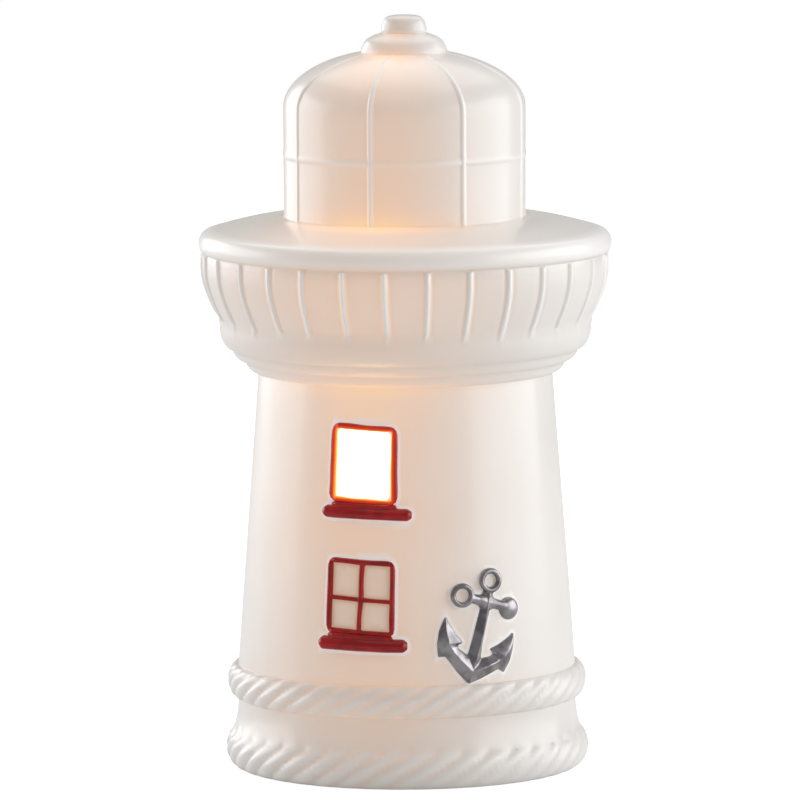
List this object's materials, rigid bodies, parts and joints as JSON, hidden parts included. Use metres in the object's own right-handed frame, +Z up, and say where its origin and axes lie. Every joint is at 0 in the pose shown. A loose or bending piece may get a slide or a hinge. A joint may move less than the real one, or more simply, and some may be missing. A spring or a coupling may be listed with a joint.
{
  "type": "lighthouse table lamp",
  "caption": "Porcelain lighthouse lamp: a hollow glazed tower with an open window, window and anchor reliefs, standing over a clip-in lamp holder with a screw-in candle bulb.",
  "frame": {"origin": "centre of the foot ring, on the surface that the lamp stands on", "axes": "+Z up the tower's axis, the windows face -Y, the cord notch is at +Y"},
  "size_m": [0.148, 0.148, 0.2701],
  "materials": {
    "glazed_porcelain": "white translucent porcelain, clear gloss glaze",
    "red_enamel": "hand-painted red on-glaze enamel, glossy",
    "platinum_lustre": "dark platinum lustre over glazed relief",
    "white_thermoplastic": "fine satin moulding",
    "steatite_insert": "unglazed pressed ceramic",
    "bush_rubber": "matt black",
    "contact_brass": "bright stamped brass",
    "nickelled_cap": "nickel-plated rolled brass",
    "zinc_steel": "zinc-plated",
    "spring_steel": "blued spring strip",
    "frosted_glass": "inside-frosted, warm-white when lit",
    "stem_glass": "clear",
    "cap_glass": "black vitrite",
    "solder": "dull tin solder",
    "nickel_wire": "drawn wire",
    "tungsten": "drawn wire"
  },
  "bodies": {
    "light_unit": {"base_cover": "white_thermoplastic", "bottom_plate": "white_thermoplastic", "cover_screw_left": "zinc_steel", "cover_screw_right": "zinc_steel", "cord_bush": "bush_rubber", "holder_barrel": "white_thermoplastic", "holder_insert": "steatite_insert", "screw_shell": "contact_brass", "centre_contact": "contact_brass", "side_contact": "contact_brass", "live_terminal": "contact_brass", "neutral_terminal": "contact_brass", "live_terminal_screw": "zinc_steel", "neutral_terminal_screw": "zinc_steel", "clip_band": "spring_steel"},
    "lighthouse": {"lighthouse_shell": "glazed_porcelain", "upper_window_frame": "red_enamel", "upper_window_sill": "red_enamel", "lower_window_frame": "red_enamel", "lower_window_sill": "red_enamel", "anchor": "platinum_lustre"},
    "left_clip": {"left_clip": "spring_steel"},
    "right_clip": {"right_clip": "spring_steel"},
    "bulb_contact": {"bulb_centre_contact": "solder"},
    "bulb": {"bulb_cap_insulator": "cap_glass", "bulb_cap": "nickelled_cap", "bulb_glass": "frosted_glass", "glass_stem": "stem_glass", "lead_wire_left": "nickel_wire", "lead_wire_right": "nickel_wire", "filament": "tungsten"}
  },
  "joints": [
    {"name": "shell_lift", "type": "slide", "parent": "light_unit", "child": "lighthouse", "axis": [0, 0, 1], "range_m": [0, 0.15], "deforming": ["left_clip", "right_clip"]},
    {"name": "left_clip_flex", "type": "hinge", "parent": "light_unit", "child": "left_clip", "pos_m": [-0.01545, 0, 0.044], "axis": [0, -1, 0], "range_deg": [0, 8.5], "stiffness_Nm_per_rad": 0.6},
    {"name": "right_clip_flex", "type": "hinge", "parent": "light_unit", "child": "right_clip", "pos_m": [0.01545, 0, 0.044], "axis": [0, 1, 0], "range_deg": [0, 8.5], "stiffness_Nm_per_rad": 0.6},
    {"name": "bulb_rise", "type": "slide", "parent": "light_unit", "child": "bulb_contact", "axis": [0, 0, 1], "range_m": [0, 0.0113]},
    {"name": "bulb_turn", "type": "hinge", "parent": "bulb_contact", "child": "bulb", "pos_m": [0, 0, 0.045], "axis": [0, 0, 1], "range_deg": [0, 1440]}
  ],
  "couplings": [
    {"joint": "bulb_rise", "follows": "bulb_turn", "m_per_rad": 0.00044913}
  ]
}
